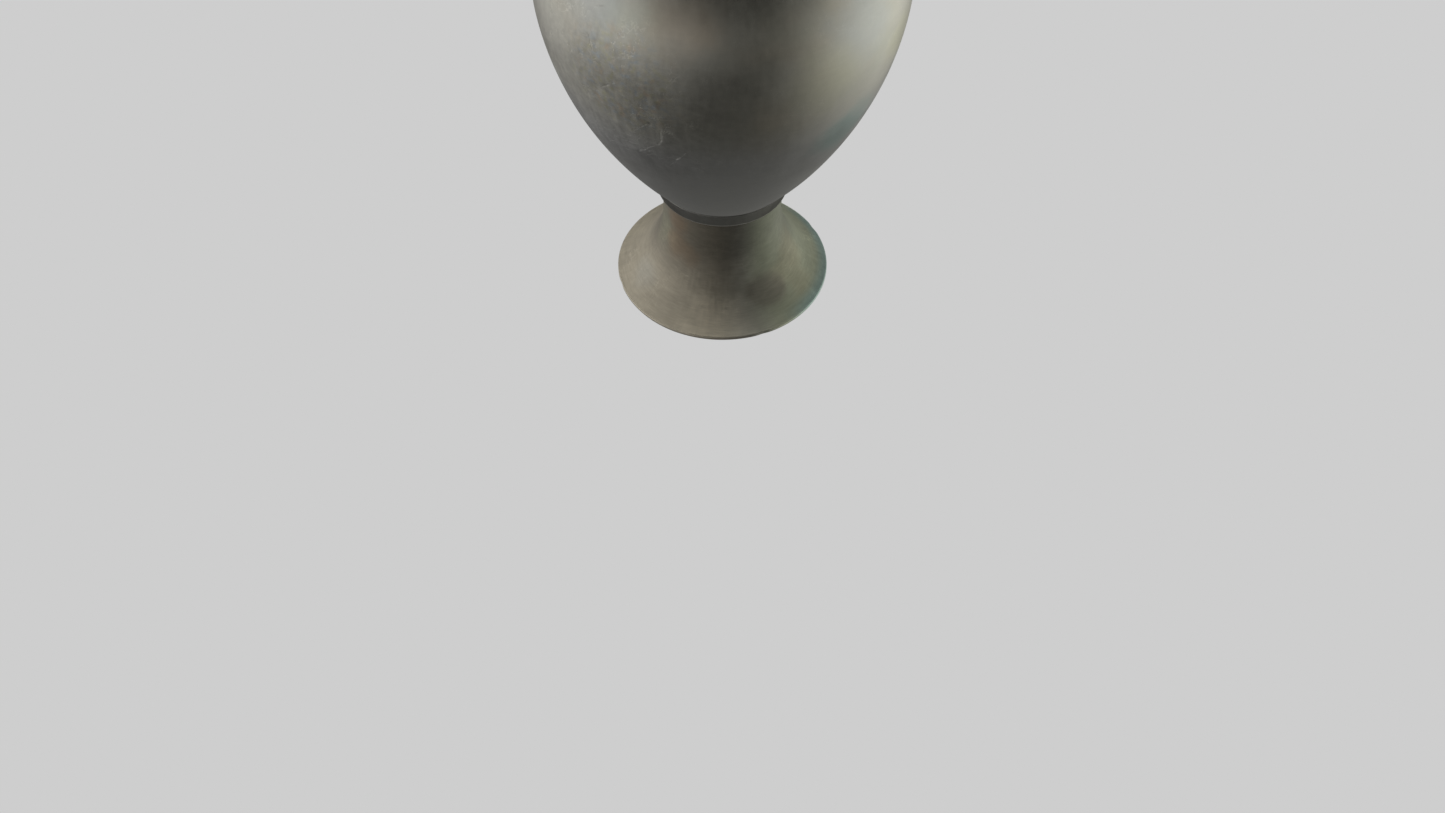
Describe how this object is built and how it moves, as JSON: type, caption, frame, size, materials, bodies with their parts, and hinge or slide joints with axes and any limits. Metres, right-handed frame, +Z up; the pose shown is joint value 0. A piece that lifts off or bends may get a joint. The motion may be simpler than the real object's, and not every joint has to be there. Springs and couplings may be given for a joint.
{
  "type": "amphora",
  "caption": "Footed metal amphora: trumpet foot, tapered collar, ovoid body, straight neck with rolled lip, and loop handles riveted to the shoulder.",
  "frame": {"origin": "centre of the circle the vessel stands on", "axes": "+Z up along the vessel's axis; the handles lie on X"},
  "size_m": [0.1976, 0.1976, 0.4],
  "materials": {
    "body_metal": "satin, spun, with a pewter-toned patina",
    "foot_metal": "satin, spun, warmer patina with fine turning lines",
    "collar_metal": "satin, turned, darker patina",
    "cast_metal": "satin, cast and filed",
    "steel": "zinc plated",
    "rubber": "matte",
    "felt": "pressed wool felt"
  },
  "bodies": {
    "root": {"lower_body": "body_metal", "shoulder": "body_metal", "neck": "body_metal", "lip": "body_metal", "seam_ring": "body_metal", "neck_ring": "collar_metal", "collar": "collar_metal", "neck_band": "collar_metal", "foot": "foot_metal", "handle_left": "cast_metal", "handle_right": "cast_metal", "handle_rivets": "cast_metal", "base_plate": "steel", "tie_rod": "steel", "top_nut": "steel", "bottom_nut": "steel", "bottom_washer": "steel", "seal_washer": "rubber", "felt_pad": "felt"}
  },
  "joints": []
}
